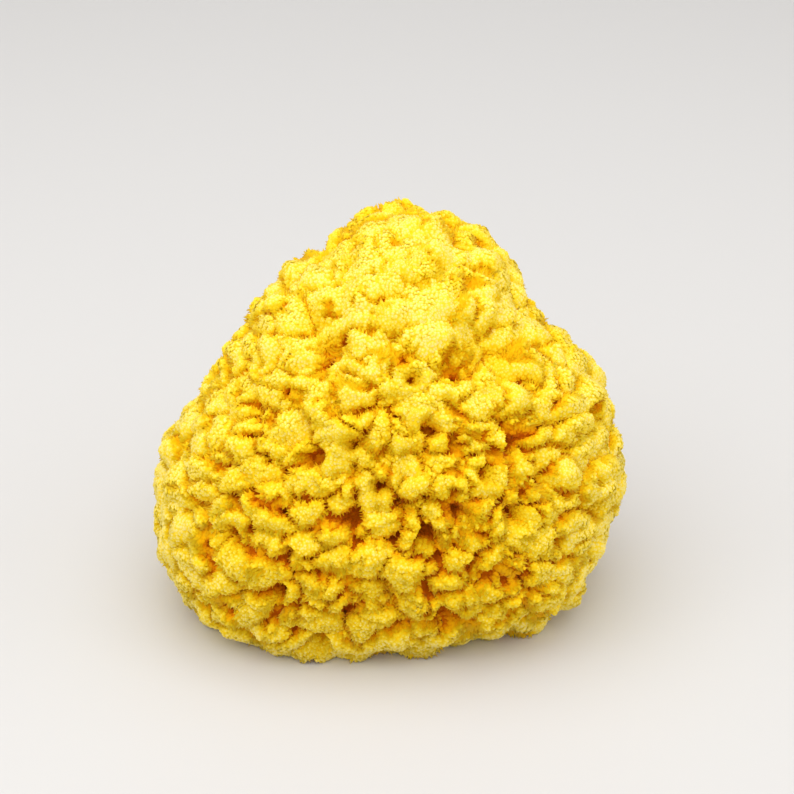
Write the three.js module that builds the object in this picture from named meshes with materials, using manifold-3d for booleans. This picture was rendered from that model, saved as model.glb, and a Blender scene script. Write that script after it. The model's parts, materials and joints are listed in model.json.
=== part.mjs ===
// A dried natural sea sponge: one grown piece, a rounded triangle as seen from the front.
// Its skin is crowded with rounded lumps, with deep creases between them and open pits,
// and it is cut off flat at the base, where it was taken from the rock.
// Units are millimetres, +Z is up, +X is to the right and the broad face looks to -Y.
// The origin is at the middle of the base of the bounding box.

import * as THREE from "three";
import { ConvexHull } from "three/addons/math/ConvexHull.js";
import { mergeVertices } from "three/addons/utils/BufferGeometryUtils.js";
import Module from "manifold-3d";

// Driving dimensions

const LEAN = THREE.MathUtils.degToRad(30); // the broad face leans back by this much
const FRONT_THICKNESS = 49; // from the middle of the sponge to its broad face
const BACK_THICKNESS_HIGH = 44; // from the middle to its back, near the top
const BACK_THICKNESS_LOW = 62; // and near the base, where the back is full
const CUT_BELOW_MIDDLE = 47; // the flat base, below the middle
const FULLNESS = 2.35; // 2 is an ellipsoid, more is boxier

// Where the back fills out: shares of a direction that run up the broad face, from full to flat.
const BACK_FULL_AT = -0.5;
const BACK_FLAT_AT = 0.7;

// Radius of the outline in the plane of the broad face, every 15 degrees from the right, turning up and over.
const OUTLINE_RADII = [
  70, 69, 64, 62, 70, 73, 73, 65, 64, 61, 60, 62, 70, 76, 80, 79, 75, 70, 66, 66, 69, 74, 73, 73,
];

const LUMP_COUNT = 350;
const LUMP_SCATTER = 0.5; // how far a lump sits from an even spacing, as a share of that spacing
const LUMP_SEED = 7;
const CREASE_DEPTH = 5.2; // at the bottom of the groove between two lumps
const CREASE_ROUNDING = 0.97; // 1 would bring the lumps' sides down upright into the groove
const LUMP_RECESS = 2.6; // the most that one lump's top is lower than another's

const SURFACE_POINTS = 5650; // points of the faceted skin, before the base is cut
const SNAP_SHARE = 0.55; // points this close to a crease move onto it, as a share of the point spacing
const CLOSEST_SHARE = 0.45; // points closer together than this share of the spacing are thinned out

// Open pits on the broad face: across, up (both from its middle), mouth radius and depth.
const FACE_PITS = [
  { across: 12, up: 5.5, mouth: 3.2, depth: 13 },
  { across: 10.5, up: -28, mouth: 3.9, depth: 14 },
  { across: 3, up: -18, mouth: 3.0, depth: 11 },
  { across: -23.5, up: -4, mouth: 3.6, depth: 13 },
  { across: -35.5, up: -46, mouth: 3.3, depth: 12 },
  { across: -19.5, up: 31, mouth: 4.4, depth: 9 },
  { across: 20, up: 24, mouth: 4.2, depth: 10 },
  { across: 6.5, up: 21, mouth: 2.8, depth: 10 },
  { across: -12, up: -23, mouth: 3.3, depth: 12 },
  { across: 28.5, up: -8.5, mouth: 2.9, depth: 10 },
  { across: 38, up: 0, mouth: 3.5, depth: 9 },
  { across: -49, up: -27, mouth: 3.2, depth: 9 },
  { across: 36.5, up: -21.5, mouth: 2.9, depth: 9 },
  { across: 16, up: -53, mouth: 4.2, depth: 11 },
  { across: -12, up: 0, mouth: 2.6, depth: 10 },
  { across: -4, up: -13, mouth: 2.6, depth: 10 },
  { across: 46, up: -11, mouth: 2.8, depth: 9 },
  { across: 20.5, up: -21, mouth: 2.8, depth: 10 },
  { across: -30, up: -32, mouth: 2.8, depth: 9 },
];

// Pits over the top, sides and back, at random places.
const OTHER_PITS = 34;
const OTHER_PIT_SEED = 23;
const OTHER_PIT_SPACING = 0.3; // radians between any two pits
const OTHER_PIT_MOUTH = { least: 2.7, most: 4.3 };
const OTHER_PIT_DEPTH = { least: 8, most: 13 };
const FACE_EDGE = 0.55; // a direction leaning further than this towards the viewer is on the broad face

// A pit's shape, in shares of its mouth radius: its floor, its rim, its rings of skin points,
// and how far round it the skin's other points are left out.
const PIT_FLOOR = 0.35;
const PIT_RIM = 1.25;
const PIT_RINGS = [
  { share: 0.45, count: 6 },
  { share: 1.2, count: 10 },
];
const PIT_CLEARS = 1.45;

// Shallow hollows in the whole form: across, up, radius and depth.
const HOLLOWS = [
  { across: -22, up: 34, radius: 17, depth: 5 },
  { across: 30, up: 27, radius: 17, depth: 5 },
  { across: 47, up: 42, radius: 10, depth: 3 },
  { across: -8, up: -12, radius: 20, depth: 2.5 },
];

const RIM_SHARE = 0.98; // places on the broad face stay inside this share of the outline
const CUT_BLOCK = 400; // side of the block that takes away everything under the base

// Axes of the broad face: across to the right, up along the leaning face, and out towards the viewer.

const ACROSS = new THREE.Vector3(1, 0, 0);
const UP_FACE = new THREE.Vector3(0, Math.sin(LEAN), Math.cos(LEAN));
const OUT_FACE = new THREE.Vector3(0, -Math.cos(LEAN), Math.sin(LEAN));

// A repeatable stream of numbers between 0 and 1.
function randomStream(seed) {
  let state = seed >>> 0;
  return () => {
    state = (state + 0x6d2b79f5) >>> 0;
    let mixed = Math.imul(state ^ (state >>> 15), state | 1);
    mixed ^= mixed + Math.imul(mixed ^ (mixed >>> 7), mixed | 61);
    return ((mixed ^ (mixed >>> 14)) >>> 0) / 4294967296;
  };
}

const smoothstep = THREE.MathUtils.smoothstep;

// Directions spread evenly over a sphere along a spiral.
function evenDirections(count) {
  const goldenTurn = Math.PI * (3 - Math.sqrt(5));
  return Array.from({ length: count }, (_, i) => {
    const height = 1 - (2 * i + 1) / count;
    const ring = Math.sqrt(1 - height * height);
    return new THREE.Vector3(
      ring * Math.cos(i * goldenTurn),
      ring * Math.sin(i * goldenTurn),
      height,
    );
  });
}

// The mean angle between neighbours when this many directions are spread over a sphere.
const meanSpacing = (count) => Math.sqrt((4 * Math.PI) / count);

// The outline's radius at an angle, on a smooth closed curve through OUTLINE_RADII.
function outlineRadius(angle) {
  const count = OUTLINE_RADII.length;
  const place = THREE.MathUtils.euclideanModulo(angle / (2 * Math.PI), 1) * count;
  const index = Math.floor(place);
  const t = place - index;
  const at = (step) => OUTLINE_RADII[(index + step + count) % count];
  const [before, start, end, after] = [at(-1), at(0), at(1), at(2)];
  const bend = 2 * before - 5 * start + 4 * end - after;
  const twist = 3 * (start - end) + after - before;
  return start + 0.5 * t * (end - before + t * (bend + t * twist));
}

// The back is fuller low down. up is the share of a direction that runs up the broad face.
function backThickness(up) {
  const flat = smoothstep(up, BACK_FULL_AT, BACK_FLAT_AT);
  return THREE.MathUtils.lerp(BACK_THICKNESS_LOW, BACK_THICKNESS_HIGH, flat);
}

// The form without its lumps: how far the skin is from the middle in a direction.
function formRadius(direction) {
  const across = direction.dot(ACROSS);
  const up = direction.dot(UP_FACE);
  const out = direction.dot(OUT_FACE);
  const outline = outlineRadius(Math.atan2(up, across));
  const thickness = out > 0 ? FRONT_THICKNESS : backThickness(up);
  const sideways = Math.pow(Math.hypot(across, up) / outline, FULLNESS);
  const outwards = Math.pow(Math.abs(out) / thickness, FULLNESS);
  return Math.pow(sideways + outwards, -1 / FULLNESS);
}

// The direction from the middle to the point of the broad face at these distances across and up it.
function faceDirection(across, up) {
  const outline = outlineRadius(Math.atan2(up, across));
  const share = Math.min(RIM_SHARE, Math.hypot(across, up) / outline);
  const out = FRONT_THICKNESS * Math.pow(1 - Math.pow(share, FULLNESS), 1 / FULLNESS);
  return new THREE.Vector3()
    .addScaledVector(ACROSS, across)
    .addScaledVector(UP_FACE, up)
    .addScaledVector(OUT_FACE, out)
    .normalize();
}

// Lumps: a scattered direction for each, and how far its top is set back.

function makeLumps() {
  const random = randomStream(LUMP_SEED);
  const reach = LUMP_SCATTER * meanSpacing(LUMP_COUNT);
  return evenDirections(LUMP_COUNT).map((direction) => {
    const shift = new THREE.Vector3(random() - 0.5, random() - 0.5, random() - 0.5);
    direction.addScaledVector(shift, 2 * reach).normalize();
    return { direction, recess: LUMP_RECESS * random() };
  });
}

// The nearest lump to a direction and the next one, with the angles to them.
function nearestLumps(lumps, direction) {
  let first = { lump: null, angle: Infinity };
  let second = first;
  for (const lump of lumps) {
    const angle = 2 * Math.asin(Math.min(1, direction.distanceTo(lump.direction) / 2));
    if (angle < first.angle) {
      second = first;
      first = { lump, angle };
    } else if (angle < second.angle) {
      second = { lump, angle };
    }
  }
  return { first, second };
}

// How far the skin drops from the form between and on the lumps.
function lumpDrop(lumps, direction) {
  const { first, second } = nearestLumps(lumps, direction);
  const towardsCrease = (2 * first.angle) / (first.angle + second.angle);
  const squared = towardsCrease * towardsCrease;
  const round = 1 - Math.sqrt(1 - CREASE_ROUNDING * squared);
  return CREASE_DEPTH * round + first.lump.recess * (1 - squared);
}

// Pits: those on the broad face, then others kept apart from each other over the rest.

function makePits() {
  const pits = FACE_PITS.map(({ across, up, mouth, depth }) => ({
    direction: faceDirection(across, up),
    mouth,
    depth,
  }));
  const random = randomStream(OTHER_PIT_SEED);
  const between = ({ least, most }) => least + (most - least) * random();
  const wanted = pits.length + OTHER_PITS;
  while (pits.length < wanted) {
    const direction = new THREE.Vector3(random() - 0.5, random() - 0.5, random() - 0.5).normalize();
    const clear = pits.every((pit) => pit.direction.angleTo(direction) > OTHER_PIT_SPACING);
    if (clear && direction.dot(OUT_FACE) < FACE_EDGE) {
      pits.push({ direction, mouth: between(OTHER_PIT_MOUTH), depth: between(OTHER_PIT_DEPTH) });
    }
  }
  return pits;
}

// How far a pit drops the skin: a steep wall from the mouth down to a rounded floor.
function pitDrop(pit, direction, radius) {
  const away = radius * direction.angleTo(pit.direction);
  return pit.depth * (1 - smoothstep(away, PIT_FLOOR * pit.mouth, PIT_RIM * pit.mouth));
}

function hollowDrop(hollow, direction, radius) {
  const away = radius * direction.angleTo(hollow.direction);
  return hollow.depth * (1 - smoothstep(away, 0, hollow.radius));
}

// Skin points: evenly spread directions, moved onto the creases that they are close to,
// with the pits' own rings in place of what lies inside them.

function snapToCrease(lumps, direction, reach) {
  const { first, second } = nearestLumps(lumps, direction);
  if (second.angle - first.angle > 2 * reach) return direction;
  const between = first.lump.direction.clone().sub(second.lump.direction);
  const offset = direction.dot(between) / between.lengthSq();
  return direction.clone().addScaledVector(between, -offset).normalize();
}

function pitRings(pit) {
  const radius = formRadius(pit.direction);
  const side = new THREE.Vector3().crossVectors(pit.direction, UP_FACE).normalize();
  const other = new THREE.Vector3().crossVectors(pit.direction, side);
  const points = [pit.direction.clone()];
  for (const { share, count } of PIT_RINGS) {
    for (let i = 0; i < count; i++) {
      const turn = (2 * Math.PI * i) / count;
      const reach = (share * pit.mouth) / radius;
      points.push(
        pit.direction
          .clone()
          .addScaledVector(side, reach * Math.cos(turn))
          .addScaledVector(other, reach * Math.sin(turn))
          .normalize(),
      );
    }
  }
  return points;
}

function skinDirections(lumps, pits) {
  const spacing = meanSpacing(SURFACE_POINTS);
  const points = pits.flatMap(pitRings);
  const inPit = (direction) =>
    pits.some((pit) => {
      const reach = (PIT_CLEARS * pit.mouth) / formRadius(pit.direction);
      return direction.angleTo(pit.direction) < reach;
    });
  for (const even of evenDirections(SURFACE_POINTS)) {
    if (inPit(even)) continue;
    const direction = snapToCrease(lumps, even, SNAP_SHARE * spacing);
    const closest = CLOSEST_SHARE * spacing;
    if (points.every((point) => point.distanceTo(direction) > closest)) points.push(direction);
  }
  return points;
}

// The convex hull of points on a sphere joins each to its neighbours, which gives the skin's triangles.
function trianglesBetween(directions) {
  const numberOf = new Map(directions.map((direction, i) => [direction, i]));
  return new ConvexHull().setFromPoints(directions).faces.flatMap((face) => {
    const edge = face.edge;
    return [edge, edge.next, edge.next.next].map((e) => numberOf.get(e.head().point));
  });
}

// Solids for the cut

const wasm = await Module();
wasm.setup();

function solidOf(geometry) {
  const bare = geometry.clone();
  bare.deleteAttribute("normal");
  bare.deleteAttribute("uv");
  const merged = mergeVertices(bare);
  return new wasm.Manifold(
    new wasm.Mesh({
      numProp: 3,
      vertProperties: new Float32Array(merged.attributes.position.array),
      triVerts: new Uint32Array(merged.index.array),
    }),
  );
}

function geometryOf(solid) {
  const { vertProperties, triVerts } = solid.getMesh();
  return new THREE.BufferGeometry()
    .setAttribute("position", new THREE.BufferAttribute(vertProperties, 3))
    .setIndex(new THREE.BufferAttribute(triVerts, 1));
}

// The whole sponge before it is cut, about its middle.
function wholeSponge() {
  const lumps = makeLumps();
  const pits = makePits();
  const hollows = HOLLOWS.map((hollow) => ({
    ...hollow,
    direction: faceDirection(hollow.across, hollow.up),
  }));
  const directions = skinDirections(lumps, pits);
  const places = directions.flatMap((direction) => {
    const form = formRadius(direction);
    const hollowed = hollows.reduce((sum, one) => sum + hollowDrop(one, direction, form), 0);
    const pitted = pits.reduce((most, pit) => Math.max(most, pitDrop(pit, direction, form)), 0);
    const radius = form - hollowed - lumpDrop(lumps, direction) - pitted;
    return direction.clone().multiplyScalar(radius).toArray();
  });
  return new THREE.BufferGeometry()
    .setAttribute("position", new THREE.Float32BufferAttribute(places, 3))
    .setIndex(trianglesBetween(directions));
}

// Everything under the flat base.
function belowTheCut() {
  const block = new THREE.BoxGeometry(CUT_BLOCK, CUT_BLOCK, CUT_BLOCK);
  return block.translate(0, 0, -CUT_BELOW_MIDDLE - CUT_BLOCK / 2);
}

function cutSponge() {
  const geometry = geometryOf(solidOf(wholeSponge()).subtract(solidOf(belowTheCut())));
  geometry.computeBoundingBox();
  const { min, max } = geometry.boundingBox;
  geometry.translate(-(min.x + max.x) / 2, -(min.y + max.y) / 2, -min.z);
  geometry.computeVertexNormals();
  return geometry;
}

const spongeFibre = new THREE.MeshStandardMaterial({
  color: 0xf2c62e,
  roughness: 0.95,
  metalness: 0,
});

const sponge = new THREE.Mesh(cutSponge(), spongeFibre);
sponge.name = "sponge";

const part = new THREE.Group();
part.add(sponge);

export default part;
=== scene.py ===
# %% [markdown]
# # A bath sponge from the sea
#
# A sea sponge is one grown piece: a firm, canal-riddled body whose outside stands up in
# hundreds of small tufts, each ending in a velvet of fibre tips. The frame gives its outer
# form, with the lumps and the large pits. This script grows the tufts in that form and sets
# the fibre tips on them. All lengths below are in mm until a mesh is made.

# %% Load the frame
import json
import math

import bmesh
import bpy
import numpy as np
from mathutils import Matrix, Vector, noise
from mathutils.bvhtree import BVHTree

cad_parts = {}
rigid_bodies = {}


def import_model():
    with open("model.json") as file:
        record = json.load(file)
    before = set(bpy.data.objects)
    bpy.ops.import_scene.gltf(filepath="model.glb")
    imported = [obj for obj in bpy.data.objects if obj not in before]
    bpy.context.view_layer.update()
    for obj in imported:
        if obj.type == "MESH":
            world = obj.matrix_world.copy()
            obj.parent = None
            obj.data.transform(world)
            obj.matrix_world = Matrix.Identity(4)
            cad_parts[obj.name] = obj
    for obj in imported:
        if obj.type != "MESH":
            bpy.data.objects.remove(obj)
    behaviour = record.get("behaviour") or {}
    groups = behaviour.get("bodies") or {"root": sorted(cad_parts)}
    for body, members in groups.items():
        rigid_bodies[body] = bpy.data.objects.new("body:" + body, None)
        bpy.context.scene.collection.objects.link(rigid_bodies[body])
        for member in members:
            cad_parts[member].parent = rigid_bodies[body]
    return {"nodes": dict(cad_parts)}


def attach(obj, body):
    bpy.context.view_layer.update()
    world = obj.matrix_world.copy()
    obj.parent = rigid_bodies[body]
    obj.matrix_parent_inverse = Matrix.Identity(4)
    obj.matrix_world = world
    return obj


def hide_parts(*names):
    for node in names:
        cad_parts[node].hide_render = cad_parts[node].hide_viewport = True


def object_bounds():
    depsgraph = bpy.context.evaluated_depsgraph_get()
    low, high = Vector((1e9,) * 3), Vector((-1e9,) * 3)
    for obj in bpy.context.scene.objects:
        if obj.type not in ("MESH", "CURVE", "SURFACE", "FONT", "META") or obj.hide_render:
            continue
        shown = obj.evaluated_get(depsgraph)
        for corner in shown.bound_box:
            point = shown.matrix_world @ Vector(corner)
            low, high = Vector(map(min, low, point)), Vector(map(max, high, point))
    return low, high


MM = 0.001

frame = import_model()
solid_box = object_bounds()
print("frame box in mm:", [[round(v / MM, 1) for v in corner] for corner in solid_box])

# %% [markdown]
# ## The form that the fibre tips reach
#
# A height map needs a skin with even, small faces. A sculptor would voxel-remesh the solid,
# but that gives faces of one size in space, and they stretch where the tufts are pulled out.
# Here the skin starts as a geodesic ball: an icosahedron whose faces are cut into even
# triangles. Every point is a direction from the sponge's middle, and a ray along it finds
# how far the solid reaches there. The 20 faces also lie side by side on a flat chart, which
# the colours are baked on.

# %% A ball of even triangles
SKIN_FREQUENCY = 98  # cuts along each side of the icosahedron's faces
CHART_TILES = (5, 2)  # columns and rows, with two faces to a tile
CHART_MARGIN = 0.02  # of a tile
CHART_SIDE = 0.9  # of a face, in tiles


def chart_of(weights, number):
    """Where one of the 20 faces lies on the flat chart."""
    inner = CHART_MARGIN + CHART_SIDE * weights
    if number % 2:
        inner = 1 - inner
    row, column = divmod(number // 2, CHART_TILES[0])
    return (inner + [column, row]) / CHART_TILES


def geodesic_ball(frequency):
    """Directions, triangles and a flat chart of an icosahedron cut into even triangles."""
    seed = bmesh.new()
    bmesh.ops.create_icosphere(seed, subdivisions=1, radius=1.0)
    corners = np.array([v.co[:] for v in seed.verts])
    faces = [[v.index for v in face.verts] for face in seed.faces]
    seed.free()
    steps = [(i, j) for i in range(frequency + 1) for j in range(frequency + 1 - i)]
    place = {step: n for n, step in enumerate(steps)}
    cells = [
        (place[i, j], place[i + 1, j], place[i, j + 1])
        for i, j in steps
        if i + j < frequency
    ]
    cells += [
        (place[i + 1, j], place[i + 1, j + 1], place[i, j + 1])
        for i, j in steps
        if i + j < frequency - 1
    ]
    cells = np.array(cells)
    weights = np.array(steps) / frequency
    points, triangles, chart = [], [], []
    for number, (a, b, c) in enumerate(faces):
        flat = corners[a] + weights[:, :1] * (corners[b] - corners[a])
        flat = flat + weights[:, 1:] * (corners[c] - corners[a])
        points.append(flat / np.linalg.norm(flat, axis=1, keepdims=True))
        triangles.append(cells + number * len(steps))
        chart.append(chart_of(weights, number)[cells])
    points = np.concatenate(points)
    kept, merged = np.unique(np.round(points, 6), axis=0, return_inverse=True)
    kept /= np.linalg.norm(kept, axis=1, keepdims=True)
    return kept, merged.ravel()[np.concatenate(triangles)], np.concatenate(chart)


directions, triangles, chart = geodesic_ball(SKIN_FREQUENCY)
print("skin:", len(directions), "points,", len(triangles), "triangles")

# %% Measure how far the solid reaches in each direction
MIDDLE_HEIGHT = 0.42  # of the sponge's height

solid = frame["nodes"]["sponge"]
solid_height = solid_box[1][2] / MM
middle = np.array([0.0, 0.0, MIDDLE_HEIGHT * solid_height])
tree = BVHTree.FromObject(solid, bpy.context.evaluated_depsgraph_get())


def solid_reach(directions):
    """How far the solid's skin is from the middle along each direction, in mm."""
    start = Vector(middle * MM)
    return np.array([tree.ray_cast(start, Vector(d))[3] for d in directions]) / MM


reach = solid_reach(directions)
print("reach in mm:", reach.min().round(1), "to", reach.max().round(1))

# %% [markdown]
# ## A broad form and a way to grow
#
# The tufts of the real sponge grow straight out of its broad form, whatever lump they stand
# on. A Smooth modifier could give that form, but the script needs it as numbers. So each
# value on the skin is moved towards its neighbours' mean: a few rounds take out the solid's
# facets, and some hundreds leave only the broad form.

# %% Smooth values over the skin
TIP_ROUNDS = 6
BROAD_ROUNDS = 400

sides = np.sort(triangles[:, [0, 1, 1, 2, 2, 0]].reshape(-1, 2), axis=1)
sides = np.unique(sides, axis=0)
ends = np.concatenate([sides, sides[:, ::-1]])
neighbour_count = np.bincount(ends[:, 0], minlength=len(directions))


def relaxed(values, rounds):
    """The values after each point has moved halfway to its neighbours' mean, several times."""
    for _ in range(rounds):
        total = np.bincount(ends[:, 0], values[ends[:, 1]], len(values))
        values = 0.5 * values + 0.5 * total / neighbour_count
    return values


tip_reach = relaxed(reach, TIP_ROUNDS)
broad_reach = relaxed(reach, BROAD_ROUNDS)
broad_points = middle + directions * broad_reach[:, None]
deepest_pit = (broad_reach - tip_reach).max()
print("creases and pits lie up to", deepest_pit.round(1), "mm under the broad form")

# %% The way each tuft grows
RAY_SHARE = 0.4  # how much the ray from the middle counts beside the skin's normal


def point_normals(points, faces):
    """Unit normals of a closed skin at its points."""
    corner = points[faces]
    across = np.cross(corner[:, 1] - corner[:, 0], corner[:, 2] - corner[:, 0])
    total = np.zeros_like(points)
    for place in range(3):
        for axis in range(3):
            total[:, axis] += np.bincount(faces[:, place], across[:, axis], len(points))
    return total / np.linalg.norm(total, axis=1, keepdims=True)


growth = point_normals(broad_points, triangles) + RAY_SHARE * directions
growth /= np.linalg.norm(growth, axis=1, keepdims=True)
off_ray = np.degrees(np.arccos(np.sum(growth * directions, axis=1).min()))
print("tufts grow up to", off_ray.round(), "degrees off the ray from the middle")

# %% [markdown]
# ## Tufts
#
# Each tuft is a brush head 5 to 10 mm across, wider than it is tall. Neighbours run together
# into ridges in some places and stand apart in others, where the gap drops to a smooth orange
# floor. They could be sculpted one by one, but there are some nine hundred. A Voronoi pattern
# gives them all: every point of the skin belongs to its nearest seed, and the distance to the
# border with each other seed says how close the gap is. What is drawn by chance for a gap
# comes from the two seeds that share it, so both sides agree on it.

# %% Noise helpers
NOISE_SEED = 5


def smooth_step(value, start, stop):
    """0 below start, 1 above stop, and an S curve between."""
    t = np.clip((value - start) / (stop - start), 0, 1)
    return t * t * (3 - 2 * t)


def soft_noise(size, offset):
    """Smooth noise from about -1 to 1, with bumps of that size. Another offset, another field."""
    return np.array([noise.noise(Vector(p)) for p in broad_points / size + offset])


def bend(far, size, offset):
    """A smooth random shift for each point: how far, over bumps of what size, in which field."""
    return far * np.array([noise.noise_vector(Vector(p))[:] for p in broad_points / size + offset])


def nearest_seeds(points, size):
    """The four nearest seeds of a Voronoi pattern with about one seed per cube of that size."""
    found = [noise.voronoi(Vector(p)) for p in points / size]
    distance = np.array([f[0] for f in found]) * size
    seed = np.array([[s[:] for s in f[1]] for f in found]) * size
    return distance, seed


def border_distances(distance, seed):
    """How far each point is from its seed's border with the next three, and both seeds' place."""
    for other in (1, 2, 3):
        apart = np.linalg.norm(seed[:, other] - seed[:, 0], axis=1)
        border = (distance[:, other] ** 2 - distance[:, 0] ** 2) / (2 * apart)
        yield border, seed[:, other] + seed[:, 0]


def dice(points, die):
    """A fixed random number from 0 to 1 for each place, the same wherever it is asked for."""
    mixed = np.round(points, 2) @ np.array([12.9898, 78.233, 37.719]) + die * 19.19
    return np.modf(np.abs(np.sin(mixed) * 43758.5453))[0]


OPENING_DIE, TOP_DIE, CANAL_DIE, WIDTH_DIE, GROOVE_DIE = range(5)
TILT_DICE = (5, 6, 7)
noise.seed_set(NOISE_SEED)
print("one throw of the dice:", dice(broad_points[:1], OPENING_DIE).round(3))

# %% Where the relief is strong
BEHIND = (0.0, 28.0)  # along +Y, from the broad face to the back
BELT_FOOT = (4.0, 20.0)  # heights over which the belt of deep gaps begins
BELT_TOP = (30.0, 100.0)  # heights over which it fades out again, on the broad face
BELT_SIDE = (36.0, 62.0)  # and distances from the middle line, likewise
BACK_KEEPS = 0.8  # of the belt's strength, near the top of the back
CREST = (78.0, 110.0)  # heights over which the relief gets calmer still
CALM_RELIEF, CREST_LOSS, BELT_GAIN, RELIEF_SPREAD = 0.48, 0.18, 0.5, 0.15
RELIEF_PATCH = (22.0, 23.0)  # size and field, as for each patch below

height = broad_points[:, 2]
behind = smooth_step(broad_points[:, 1], *BEHIND)
belt = smooth_step(height, *BELT_FOOT)
belt *= 1 - smooth_step(height, *BELT_TOP) * (1 - BACK_KEEPS * behind)
belt *= 1 - smooth_step(np.abs(broad_points[:, 0]), *BELT_SIDE) * (1 - behind)
relief = CALM_RELIEF - CREST_LOSS * smooth_step(height, *CREST) + BELT_GAIN * belt
relief += RELIEF_SPREAD * soft_noise(*RELIEF_PATCH)
print("relief:", relief.min().round(2), "to", relief.max().round(2))

# %% Bend the pattern, so that no border is straight
BORDER_BENDS = ((3.0, 11.0, 0.0), (1.2, 4.0, 7.0), (0.7, 1.9, 9.0))  # how far, size and field
RAGGED_PATCH = (2.0, 29.0)

warped = broad_points
for border_bend in BORDER_BENDS:
    warped = warped + bend(*border_bend)
ragged = soft_noise(*RAGGED_PATCH)
print("borders bend by up to", np.linalg.norm(warped - broad_points, axis=1).max().round(1), "mm")

# %% Grooves that part a tuft's head into lobes
LOBE_SIZE = 3.0
GROOVE_WIDTH = 1.0

lobe_distance, lobe_seed = nearest_seeds(warped, LOBE_SIZE)
groove = np.zeros(len(warped))
for border, pair in border_distances(lobe_distance, lobe_seed):
    nearness = 1 - smooth_step(border, 0.0, GROOVE_WIDTH)
    groove = np.maximum(groove, dice(pair, GROOVE_DIE) * nearness)
print("share of the skin in grooves:", (groove > 0.4).mean().round(3))

# %% The tufts and the gaps between them
TUFT_SIZE = 7.8
TUFT_SQUEEZE = np.array([0.8, 0.8, 1.12])  # makes tufts wider than tall
CLOSED_SHARE = 0.4  # of the borders, where two tufts have grown together
CLOSED_OPENING = 0.12
LEAST_OPENING, OPENING_SPREAD = 0.35, 0.7
LEAST_WIDTH, WIDTH_SPREAD = 0.7, 2.0
GAP_FLANK = (0.35, 1.05)  # where a gap's side starts and ends, in gap widths from the border
BORDER_SHIFT, RAGGED_SHIFT = 0.2, 0.5
PARTING_PATCH = (5.0, 37.0)
PARTING = (-0.4, 0.1)  # noise over which a gap goes from half open to open

tuft_points = warped * TUFT_SQUEEZE
distance, seed = nearest_seeds(tuft_points, TUFT_SIZE)
parting = 0.5 + 0.5 * smooth_step(soft_noise(*PARTING_PATCH), *PARTING)
gap = np.zeros(len(warped))
inside = np.full(len(warped), TUFT_SIZE)
for border, pair in border_distances(distance, seed):
    inside = np.minimum(inside, border)
    chance = dice(pair, OPENING_DIE)
    parted = (LEAST_OPENING + OPENING_SPREAD * chance) * parting
    opening = np.where(chance < CLOSED_SHARE, CLOSED_OPENING, parted) * relief
    width = LEAST_WIDTH + WIDTH_SPREAD * chance * dice(pair, WIDTH_DIE) * relief
    from_border = border + BORDER_SHIFT - groove + RAGGED_SHIFT * ragged
    flank = smooth_step(from_border, GAP_FLANK[0] * width, GAP_FLANK[1] * width)
    gap = np.maximum(gap, opening * (1 - flank))
print("tufts:", len(np.unique(np.round(seed[:, 0], 2), axis=0)))
print("share of the skin in gaps:", (gap > 0.4).mean().round(3))

# %% [markdown]
# ## Heights
#
# On the real sponge no two tufts stand equally high: each tips over a little, its head is
# slightly domed, and the gaps beside it are several mm deep. Small canal mouths go deeper
# still. A Displace modifier could push the skin by one texture, but here each layer reads
# the others: a gap fades where the relief is calm, and a canal cuts through both. So the
# layers are summed as numbers and the skin is moved once. The crest's left side is broader
# on the real sponge than on the solid, so the form is filled out there by a few mm first.

# %% How high each tuft's head stands
NAP_DEPTH = 0.8  # the skin lies this far under the form that the tips reach
MERGE_WIDTH = 0.9  # over which one head runs into the next
TOP_SPREAD = 1.8
TIP_OVER = 0.6
DOME = 0.035
CALM_TOPS = 0.35  # of these differences that is left where there is no relief


def along_skin(vectors):
    """The part of each vector that lies along the skin."""
    return vectors - growth * np.sum(vectors * growth, axis=1, keepdims=True)


def tuft_tilt(place):
    """Which way the tuft with its seed there tips over."""
    return np.stack([dice(place, die) - 0.5 for die in TILT_DICE], axis=1)


def tuft_top(place):
    """How far the top of the tuft with its seed there lies under the tips, were it the only one."""
    out = along_skin(tuft_points - place)
    tipped = TIP_OVER * np.sum(tuft_tilt(place) * out, axis=1) + DOME * np.sum(out * out, axis=1)
    return (CALM_TOPS + (1 - CALM_TOPS) * relief) * (TOP_SPREAD * (0.5 - dice(place, TOP_DIE)) + tipped)


closeness = np.exp((distance[:, :1] - distance) / MERGE_WIDTH)
closeness /= closeness.sum(axis=1, keepdims=True)
crown = NAP_DEPTH + sum(closeness[:, k] * tuft_top(seed[:, k]) for k in range(4))
print("heads lie", crown.min().round(1), "to", crown.max().round(1), "mm under the tips")

# %% The flat cut, the pits and the canal mouths
CUT_TOUCH = 0.3  # the skin this close to the floor is on the cut
CUT_ROUNDS, PIT_ROUNDS = 2, 3
PIT_BEND = (0.035, 5.0, 17.0)
PIT_EDGE = (5.0, 7.0)  # mm under the broad form
PIT_WIDENING = 3.0  # what a gap beside a pit adds to its depth
CREASE_KEPT = 3.2  # what is sunk deeper than this is left to gaps and pits
CANAL_SIZE = 8.5
CANAL_BEND = (1.2, 4.0, 3.0)
CANAL_FLANK = (0.6, 1.1)  # in canal radii
LEAST_CANAL, CANAL_SPREAD = 0.8, 1.3

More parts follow.
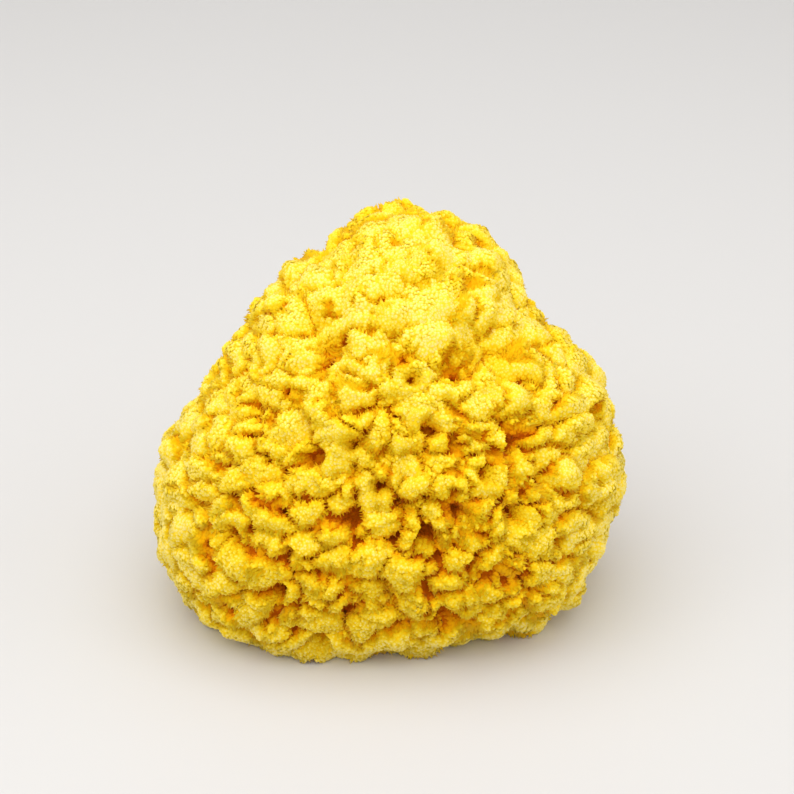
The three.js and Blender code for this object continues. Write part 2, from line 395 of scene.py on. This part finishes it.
touching = middle[2] + directions[:, 2] * reach < CUT_TOUCH
on_cut = relaxed(touching.astype(float), CUT_ROUNDS)
pit_sunk = broad_reach - relaxed(solid_reach(directions + bend(*PIT_BEND)), PIT_ROUNDS)
pit = smooth_step(pit_sunk + PIT_WIDENING * gap, *PIT_EDGE) * (1 - on_cut)
canal_points = broad_points + bend(*CANAL_BEND)
canal_distance, canal_seed = nearest_seeds(canal_points, CANAL_SIZE)
canal_radius = LEAST_CANAL + CANAL_SPREAD * dice(canal_seed[:, 0], CANAL_DIE)
canal_flank = [part * canal_radius for part in CANAL_FLANK]
canal = 1 - smooth_step(canal_distance[:, 0], *canal_flank)
print("share of the skin in pits and canals:", (np.maximum(pit, canal) > 0.5).mean().round(3))

# %% The crest, filled out on its left
CREST_PLACE = np.array([-7.0, 29.0, 107.0])
CREST_FILL = 3.8
CREST_SPREAD = 9.0

top_reach = np.where(on_cut > 0.5, tip_reach, np.maximum(tip_reach, broad_reach - CREASE_KEPT))
from_crest = np.linalg.norm(broad_points - CREST_PLACE, axis=1)
top_reach += CREST_FILL * np.exp(-((from_crest / CREST_SPREAD) ** 2))
print("the tips reach", top_reach.min().round(1), "to", top_reach.max().round(1), "mm from the middle")

# %% How deep each point of the skin lies
GAP_DEPTH = 6.0
PIT_DEPTH = 9.0
CANAL_DEPTH = 5.0
GROOVE_DEPTH = 1.4
FINE_DEPTH, RAGGED_DEPTH, CUT_ROUGHNESS = 0.15, 0.25, 0.25
FINE_PATCH, SWELL_PATCH = (1.5, 11.0), (14.0, 5.0)
MEAN_GAP, GAP_SPREAD = 0.8, 0.4  # of the gap depth
CALM_CANALS = 0.25  # of a canal's depth that is left where there is no relief
PIT_GAIN, PIT_LOSS = 1.1, 0.2

fine = soft_noise(*FINE_PATCH)
swell = soft_noise(*SWELL_PATCH)
fall = crown + GROOVE_DEPTH * relief**2 * groove - FINE_DEPTH * fine - RAGGED_DEPTH * ragged
fall += GAP_DEPTH * gap * (MEAN_GAP + GAP_SPREAD * swell)
fall += CANAL_DEPTH * canal * (CALM_CANALS + (1 - CALM_CANALS) * relief)
fall = np.maximum(fall, PIT_DEPTH * pit * (PIT_GAIN * relief - PIT_LOSS))
under_crown = fall - crown
cut_fall = CANAL_DEPTH * canal + CUT_ROUGHNESS * (1 + fine)
fall = relaxed(fall * (1 - on_cut) + cut_fall * on_cut, 1)
print("deepest point:", fall.max().round(1), "mm under the tips")

# %% Move the skin: down by its depth, and aside where a tuft overhangs or tips over
OVERHANG = 0.6
SWAY = 2.4
SWAY_EDGE = (0.0, 2.0)  # mm inside a tuft's border over which it starts to sway
SHORTEST_LEAN = 0.2

skin = middle + directions * top_reach[:, None] - growth * fall[:, None]
lean = along_skin(tuft_points - seed[:, 0])
lean /= np.maximum(np.linalg.norm(lean, axis=1, keepdims=True), SHORTEST_LEAN)
overhang = np.sin(2 * math.pi * np.clip(gap, 0, 1)) * (1 - on_cut)
skin += OVERHANG * overhang[:, None] * lean
sway = along_skin(tuft_tilt(seed[:, 0]))
loose = smooth_step(inside, *SWAY_EDGE) * relief * (1 - pit) * (1 - on_cut)
skin += SWAY * loose[:, None] * sway
skin[:, 2] = np.maximum(skin[:, 2], 0)
print("skin in mm:", skin.min(axis=0).round(1), "to", skin.max(axis=0).round(1))

# %% [markdown]
# ## The body
#
# The body is what shows in the gaps and pits: smooth, orange fibre that gets deeper in
# colour the further in it lies, which is painted shade. Real fibre glows there, because light
# goes through it again and again. Subsurface scattering would be the usual way, but over so
# many small tufts it takes the red out. So the skin carries one number per point, its tone,
# which falls with depth, in crevices, on steep walls and on undersides as painted shade and
# painted glow, and the material turns it to colour.

# %% Make a mesh from arrays
def new_piece(name, points, faces):
    """A smooth-shaded mesh object from arrays of points in mm and triangles."""
    mesh = bpy.data.meshes.new(name)
    mesh.vertices.add(len(points))
    mesh.vertices.foreach_set("co", (points * MM).astype(np.float32).ravel())
    mesh.loops.add(faces.size)
    mesh.loops.foreach_set("vertex_index", faces.astype(np.int32).ravel())
    mesh.polygons.add(len(faces))
    mesh.polygons.foreach_set("loop_start", np.arange(0, faces.size, 3, dtype=np.int32))
    mesh.update(calc_edges=True)
    mesh.shade_smooth()
    piece = bpy.data.objects.new(name, mesh)
    bpy.context.scene.collection.objects.link(piece)
    return piece


def store(piece, name, values):
    """Keeps one number per point on the mesh, for the materials to read."""
    layer = piece.data.attributes.new(name, "FLOAT", "POINT")
    layer.data.foreach_set("value", values.astype(np.float32))


def lay_flat(piece, uv):
    """Gives the mesh the flat chart that its colours are baked on."""
    layer = piece.data.uv_layers.new(name="OFBake")
    layer.data.foreach_set("uv", uv.astype(np.float32).ravel())


body = new_piece("sponge_body", skin, triangles)
lay_flat(body, chart)
print("body:", len(body.data.polygons), "triangles")

# %% The tone of the skin, painted shade and painted light included
DARK_DEPTH = 12.0  # mm under the tips, where no light gets in
FLOOR_TONE = 0.36
# Painted light: the heads get a paler tone than the floor of a gap.
HEAD_TONE = 0.3  # more on the heads than on the floor of a gap
# Painted shade and painted glow: the tone is a little lower towards the floor, and paler outside the
# belt of deep gaps, at the rims.
LOW_SHADE_TONE, RIM_GLOW_TONE = 0.02, 0.11
LOW_SHADE_HEIGHTS = (5.0, 105.0)  # heights over which the fibre gets paler
# Painted shade: how much the tone drops in crevices, on steep walls and on undersides.
CREVICE_TONE, STEEP_TONE, UNDERSIDE_TONE, FINE_TONE = 0.2, 0.14, 0.16, 0.03
CREVICE_ROUNDS = 10
CREVICE = (0.1, 1.2)  # mm under the skin around it
STEEP = (0.1, 0.85)  # cosine between the skin's normal and the way the tuft grows
UNDERSIDE = (0.15, 0.9)  # how much further down the normal points than the tuft does
SHADED = (0.2, 4.0)  # mm under the heads, over which the light falls off
CALM_SHADE = 0.4  # of those depths where there is no relief

# Painted shade: the tone falls the deeper the skin lies under the tips, and painted light raises it on
# the heads.
depth = fall - NAP_DEPTH + np.maximum(broad_reach - top_reach, 0)
openness = 1 - smooth_step(depth, 0.0, DARK_DEPTH)
crevice = smooth_step(fall - relaxed(fall, CREVICE_ROUNDS), *CREVICE)
skin_normal = point_normals(skin, triangles)
outward = np.sum(skin_normal * growth, axis=1)
steep = relaxed(1 - smooth_step(outward, *STEEP), 2)
underside = relaxed(smooth_step(growth[:, 2] - skin_normal[:, 2], *UNDERSIDE), 2)

lit = 1 - smooth_step(under_crown / (CALM_SHADE + (1 - CALM_SHADE) * relief), *SHADED)
# Painted shade low down, and painted glow at the rims where the relief is calm.
rim_glow_and_low_shade = LOW_SHADE_TONE * smooth_step(height, *LOW_SHADE_HEIGHTS) + RIM_GLOW_TONE * (1 - belt) - RIM_GLOW_TONE
skin_tone = openness * (FLOOR_TONE + HEAD_TONE * lit + rim_glow_and_low_shade) + FINE_TONE * fine
# Painted shade in crevices, on steep walls and on undersides.
skin_tone -= CREVICE_TONE * crevice + STEEP_TONE * steep + UNDERSIDE_TONE * underside
store(body, "tone", skin_tone)
print("tone of the skin:", skin_tone.min().round(2), "to", skin_tone.max().round(2))

# %% [markdown]
# ## The nap
#
# Every head ends in a velvet of fibre tips, in bundles a little under 1 mm apart that look
# like pale beads from above and like a fringe along a head's edge. Hair curves would be the
# usual way, but they don't export as a mesh. Here each bundle is one small grain, an
# eight-sided bead with its ring in the skin. Neighbours overlap, and their normals are bent
# towards the tip, so that they shade as one soft pile. Along the edges the grains are longer
# and thinner, and all of them splay outward from their tuft.

# %% Choose where the grains stand
GRAIN_PITCH = 0.92  # one grain to a cube of this side
CANDIDATES = 600000
BARE_DEPTH = (1.6, 4.6)  # mm under the heads over which the nap thins out
BARE_SHARE = 0.97
draws = np.random.default_rng(12)

corner = skin[triangles]
across = np.cross(corner[:, 1] - corner[:, 0], corner[:, 2] - corner[:, 0])
area = np.linalg.norm(across, axis=1) / 2
face_normal = across / np.maximum(2 * area, 1e-9)[:, None]
face_low = under_crown[triangles].mean(axis=1)
face_cut = on_cut[triangles].mean(axis=1)
wanted = area * (1 - BARE_SHARE * smooth_step(face_low, *BARE_DEPTH)) * (1 - face_cut)
chosen = draws.choice(len(triangles), CANDIDATES, p=wanted / wanted.sum())
weights = draws.dirichlet((1, 1, 1), CANDIDATES)
root = np.einsum("nk,nkd->nd", weights, corner[chosen])
kept = np.unique(np.floor(root / GRAIN_PITCH).astype(int), axis=0, return_index=True)[1]
root, chosen, weights = root[kept], chosen[kept], weights[kept]
count = len(root)
print("grains:", count, "on", round(wanted.sum()), "mm2")


# %% Which way each grain points, and how long it is
def at_roots(values):
    """The skin's values at the roots of the grains."""
    return np.einsum("nk,nk->n", weights, values[triangles][chosen])


GRAIN_RADIUS = 0.76
GRAIN_LENGTH = 0.66
FRINGE_LONGER, FRINGE_THINNER = 2.2, 0.42
FRINGE_START, FRINGE_END = (0.5, 1.5), (1.5, 3.0)  # mm under the heads
LENGTHS = (0.65, 1.0)  # shortest and longest, of the grain length
SKIN_PULL, TUFT_PULL, SPLAY, STRAY = 0.6, 0.6, 0.4, 0.09

root_low = at_roots(under_crown)
upright = growth[triangles[chosen, 0]]
splay = lean[triangles[chosen, 0]]
aim = SKIN_PULL * face_normal[chosen] + TUFT_PULL * upright + SPLAY * splay
aim += STRAY * draws.normal(size=(count, 3))
aim /= np.linalg.norm(aim, axis=1, keepdims=True)
fringe = smooth_step(root_low, *FRINGE_START) * (1 - smooth_step(root_low, *FRINGE_END))
length = GRAIN_LENGTH * draws.uniform(*LENGTHS, count) * (1 + FRINGE_LONGER * fringe)
radius = (GRAIN_RADIUS * (1 - FRINGE_THINNER * fringe))[:, None]
print("grains are", length.min().round(2), "to", length.max().round(2), "mm long")

# %% The six points of each grain: four round its ring, its tip and its foot
TIP, FOOT = 4, 5
FOOT_DEPTH = 0.5
TIPWARD, SIDEWARD = 0.9, 0.28  # how the ring's normals are bent
GRAIN_FACES = [[k, (k + 1) % 4, TIP] for k in range(4)]
GRAIN_FACES += [[(k + 1) % 4, k, FOOT] for k in range(4)]
GRAIN_FACES = np.array(GRAIN_FACES)

side = np.cross(aim, draws.normal(size=(count, 3)))
side /= np.linalg.norm(side, axis=1, keepdims=True)
other_side = np.cross(aim, side)
grains, facing = [], []
for around in (side, other_side, -side, -other_side):
    grains.append(root + radius * around)
    facing.append(TIPWARD * aim + SIDEWARD * around)
grains += [root + length[:, None] * aim, root - FOOT_DEPTH * aim]
facing += [aim, -aim]
grains = np.stack(grains, axis=1)
grains[:, :, 2] = np.maximum(grains[:, :, 2], 0)
facing = np.stack(facing, axis=1)
print("nap in mm:", grains.min(axis=(0, 1)).round(1), "to", grains.max(axis=(0, 1)).round(1))

# %% The tone of the grains, palest at the tip
RING_PALER = 0.05
LEAST_TIP_PALER = 0.05
TIP_PALER = 0.38
LOW_TIP_PALER = 0.12  # more than that near the floor
LOW_TIPS = (5.0, 80.0)  # heights over which that wears off
TIP_SPREAD = (0.5, 1.0)
FADE = (0.3, 2.6)  # mm under the heads over which the paleness goes
SHADED_FADE = 0.5  # of it that goes in crevices and on steep walls

# Painted shade: the grains take the skin's tone, and their tips grow less pale deeper under the heads,
# in crevices and on steep walls.
fade = 1 - smooth_step(root_low, *FADE)
fade *= 1 - SHADED_FADE * at_roots(np.maximum(crevice, steep))
tone = np.repeat((at_roots(skin_tone) + RING_PALER * fade)[:, None], 6, axis=1)
tip_pale = TIP_PALER + LOW_TIP_PALER * (1 - smooth_step(root[:, 2], *LOW_TIPS))
tone[:, TIP] += LEAST_TIP_PALER + tip_pale * fade * draws.uniform(*TIP_SPREAD, count)
print("tone of the tips:", tone[:, TIP].min().round(2), "to", tone[:, TIP].max().round(2))

# %% Make the nap in four pieces, each a quarter of the way round
NAP_NAMES = ("nap_front", "nap_right", "nap_back", "nap_left")
FIRST_BEARING = -0.75 * math.pi
GRAIN_MARGIN = 0.1  # of a square on the chart


def grain_chart(number_of_grains):
    """A small square on the flat chart for the top and one for the underside of each grain."""
    columns = math.ceil(math.sqrt(2 * number_of_grains))
    square = np.array([[0, 0], [1, 0], [1, 1], [0, 1], [0.5, 0.5], [0.5, 0.5]])
    square = GRAIN_MARGIN + (1 - 2 * GRAIN_MARGIN) * square
    number = np.repeat(np.arange(2 * number_of_grains).reshape(number_of_grains, 2), 4, axis=1)
    origin = np.stack([number % columns, number // columns], axis=2)
    return (origin[:, :, None] + square[GRAIN_FACES][None]) / columns


bearing = np.arctan2(root[:, 1], root[:, 0])
order = np.argsort((bearing - FIRST_BEARING) % (2 * math.pi))
nap_pieces = []
for name, quarter in zip(NAP_NAMES, np.array_split(order, len(NAP_NAMES))):
    faces = GRAIN_FACES[None] + 6 * np.arange(len(quarter))[:, None, None]
    nap = new_piece(name, grains[quarter].reshape(-1, 3), faces.reshape(-1, 3))
    nap.data.normals_split_custom_set_from_vertices(facing[quarter].reshape(-1, 3))
    store(nap, "tone", tone[quarter].ravel())
    lay_flat(nap, grain_chart(len(quarter)))
    nap_pieces.append(nap)
    print(name, len(nap.data.polygons), "triangles")

# %% [markdown]
# ## Sponge fibre
#
# Dried sponge fibre is matt and velvety, warm yellow with pale lemon tips. The deep orange
# inside and the paler heads are painted shade and painted light, for the light that the fibre
# scatters. It could be painted by a noise texture alone, but then the colour would ignore the
# shape. Here a ramp turns the tone that each mesh carries into colour, and a soft noise shifts
# it from patch to patch. A faint sheen gives the velvet its pale rim.
# Nodes are added by plain sums on a small class that wraps a socket.


# %% A socket that does sums
class Wire:
    """A shader socket that takes part in Python sums, each of which adds a node."""

    def __init__(self, tree, socket=None):
        self.tree = tree
        self.socket = socket

    def node(self, kind, settings=None, output=0, **inputs):
        """Adds any node, sets it up, feeds its sockets by name or _number, and gives one output."""
        made = self.tree.nodes.new(kind)
        for name, value in (settings or {}).items():
            if name == "stops":
                set_stops(made.color_ramp, value)
            else:
                setattr(made, name, value)
        for name, value in inputs.items():
            key = int(name[1:]) if name[0] == "_" else name.replace("_", " ")
            if isinstance(value, Wire):
                self.tree.links.new(value.socket, made.inputs[key])
            else:
                made.inputs[key].default_value = value
        return Wire(self.tree, made.outputs[output])

    def maths(self, operation, first, second):
        return self.node("ShaderNodeMath", {"operation": operation}, _0=first, _1=second)

    def __add__(self, other):
        return self.maths("ADD", self, other)

    __radd__ = __add__

    def __sub__(self, other):
        return self.maths("SUBTRACT", self, other)

    def __rsub__(self, other):
        return self.maths("SUBTRACT", other, self)

    def __mul__(self, other):
        return self.maths("MULTIPLY", self, other)

    __rmul__ = __mul__


def set_stops(ramp, stops):
    """Gives a colour ramp these (place, colour) stops."""
    while len(ramp.elements) > 1:
        ramp.elements.remove(ramp.elements[-1])
    ramp.elements[0].position, ramp.elements[0].color = stops[0]
    for place, colour in stops[1:]:
        ramp.elements.new(place).color = colour


# %% The fibre's colours
# The lowest stops give the painted shade of pits, crevices and undersides.
FIBRE_COLOURS = (
    (0.0, (0.60, 0.14, 0.0005, 1)),
    (0.1, (0.82, 0.29, 0.0005, 1)),
    (0.2, (0.91, 0.42, 0.001, 1)),
    (0.42, (0.94, 0.55, 0.004, 1)),
    (0.6, (0.96, 0.64, 0.008, 1)),
    (0.8, (0.97, 0.72, 0.05, 1)),
    (1.0, (0.98, 0.80, 0.24, 1)),
)
PATCH_SCALE, PATCH_DETAIL, PATCH_TONE = 70.0, 3.0, 0.16
FINE_SCALE, FINE_DETAIL, FINE_HEIGHT, FINE_STRENGTH = 1600.0, 2.0, 0.0004, 0.25
FINISH = {
    "Roughness": 0.9,
    "Specular IOR Level": 0.05,
    "Sheen Weight": 0.15,
    "Sheen Roughness": 0.5,
    "Sheen Tint": (1.0, 0.86, 0.3, 1),
}


def sponge_fibre(name, bumpy):
    """Yellow sponge fibre, deeper and more orange where the tone is low."""
    material = bpy.data.materials.new(name)
    material.use_nodes = True
    nodes = material.node_tree
    shader = nodes.nodes["Principled BSDF"]
    start = Wire(nodes)
    tone = start.node("ShaderNodeAttribute", {"attribute_name": "tone"}, output="Fac")
    place = start.node("ShaderNodeTexCoord", output="Object")
    patch = start.node("ShaderNodeTexNoise", Vector=place, Scale=PATCH_SCALE, Detail=PATCH_DETAIL)
    shade = tone + PATCH_TONE * (patch - 0.5)
    colour = start.node("ShaderNodeValToRGB", {"stops": FIBRE_COLOURS}, Fac=shade)
    nodes.links.new(colour.socket, shader.inputs["Base Color"])
    for socket, value in FINISH.items():
        shader.inputs[socket].default_value = value
    if bumpy:
        fine = start.node("ShaderNodeTexNoise", Vector=place, Scale=FINE_SCALE, Detail=FINE_DETAIL)
        bump = start.node("ShaderNodeBump", Strength=FINE_STRENGTH, Distance=FINE_HEIGHT, Height=fine)
        nodes.links.new(bump.socket, shader.inputs["Normal"])
    print(name, "has", len(nodes.nodes), "nodes")
    return material


body.data.materials.append(sponge_fibre("sponge flesh", bumpy=True))
nap_fibre = sponge_fibre("fibre nap", bumpy=False)
for nap in nap_pieces:
    nap.data.materials.append(nap_fibre)

# %% [markdown]
# ## What each piece is to the frame
#
# The sponge is one body, so every piece rides on it. The body's mesh stands for the frame's
# solid, which stays hidden for collision, and the nap lies on the body.

# %% Tie the pieces to the frame
for piece in [body] + nap_pieces:
    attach(piece, "root")
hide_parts("sponge")
print("pieces:", [piece.name for piece in [body] + nap_pieces])

# %% [markdown]
# ## Floor, light and camera
#
# A sponge is all small shadows, so it needs soft light from above that still has a
# direction. One large lamp overhead does most of it, two weaker ones open up the sides, and
# one lights the pale floor behind. An image of a studio could light it too, but four lamps
# are easier to set. The floor curves up behind the sponge, as a paper sweep does, so that it
# shows no far edge. The camera looks down 30 degrees through a long lens.

# %% Floor
FLOOR_SIDE = 6.0
SWEEP_START, SWEEP_RADIUS, SWEEP_TOP = 0.9, 0.8, 3.0
SWEEP_STEPS = 16
FLOOR_COLOUR, FLOOR_ROUGHNESS = (0.64, 0.63, 0.62, 1), 0.8


def make_floor():
    """A wide pale floor, curved up behind as a studio sweep is."""
    profile = [(-FLOOR_SIDE, 0.0), (SWEEP_START, 0.0)]
    for step in range(1, SWEEP_STEPS + 1):
        angle = math.pi / 2 * step / SWEEP_STEPS
        back = SWEEP_START + SWEEP_RADIUS * math.sin(angle)
        profile.append((back, SWEEP_RADIUS * (1 - math.cos(angle))))
    profile.append((SWEEP_START + SWEEP_RADIUS, SWEEP_TOP))
    points = np.array([(x, y, z) for y, z in profile for x in (-FLOOR_SIDE, FLOOR_SIDE)]) / MM
    rows = 2 * np.arange(len(profile) - 1)[:, None]
    return new_piece("floor", points, np.concatenate([rows + [0, 1, 3], rows + [0, 3, 2]]))


floor = make_floor()
paper = bpy.data.materials.new("pale floor")
paper.use_nodes = True
paper_shader = paper.node_tree.nodes["Principled BSDF"]
paper_shader.inputs["Base Color"].default_value = FLOOR_COLOUR
paper_shader.inputs["Roughness"].default_value = FLOOR_ROUGHNESS
floor.data.materials.append(paper)
print("floor:", len(floor.data.polygons), "triangles")

# %% Light
SKY_COLOUR, SKY_STRENGTH = (1, 0.99, 0.98, 1), 0.7
SPONGE_MIDDLE = (0.0, 0.0, 0.05)
BEHIND_SPONGE = (0.0, 0.4, 0.0)
LAMPS = (  # name, place, what it is turned to, side, watts
    ("key from above", (-0.08, -0.22, 0.88), SPONGE_MIDDLE, 1.2, 7.9),
    ("light from behind", (0.0, 0.75, 0.9), BEHIND_SPONGE, 0.8, 0.8),
    ("light from the left", (-0.9, -0.1, 0.5), SPONGE_MIDDLE, 0.8, 1.2),
    ("light from the right", (0.9, -0.1, 0.5), SPONGE_MIDDLE, 0.8, 1.5),
)

world = bpy.data.worlds.new("studio")
bpy.context.scene.world = world
world.use_nodes = True
sky = world.node_tree.nodes["Background"]
sky.inputs["Color"].default_value = SKY_COLOUR
sky.inputs["Strength"].default_value = SKY_STRENGTH


def softbox(name, place, goal, size, power):
    """A square area light at a place, turned to a point."""
    light = bpy.data.lights.new(name, "AREA")
    light.size = size
    light.energy = power
    lamp = bpy.data.objects.new(name, light)
    lamp.location = place
    lamp.rotation_euler = (Vector(goal) - Vector(place)).to_track_quat("-Z", "Y").to_euler()
    bpy.context.scene.collection.objects.link(lamp)


for lamp in LAMPS:
    softbox(*lamp)
print("lamps:", [lamp[0] for lamp in LAMPS])

# %% Camera
LENS = 85.0
SENSOR = 36.0
ELEVATION = math.radians(30)
FRAME_WIDTH = 0.230  # what the picture takes in, at the target
TARGET = Vector((0.0026, 0.0, 0.063))

camera_data = bpy.data.cameras.new("camera")
camera_data.lens = LENS
camera_data.sensor_width = SENSOR
camera = bpy.data.objects.new("camera", camera_data)
stand_off = FRAME_WIDTH * LENS / SENSOR
away = Vector((0, -math.cos(ELEVATION), math.sin(ELEVATION)))
camera.location = TARGET + stand_off * away
camera.rotation_euler = (math.pi / 2 - ELEVATION, 0, 0)
bpy.context.scene.collection.objects.link(camera)
bpy.context.scene.camera = camera
bpy.context.scene.view_settings.view_transform = "Standard"
print("camera stands", round(stand_off, 3), "m from its target")
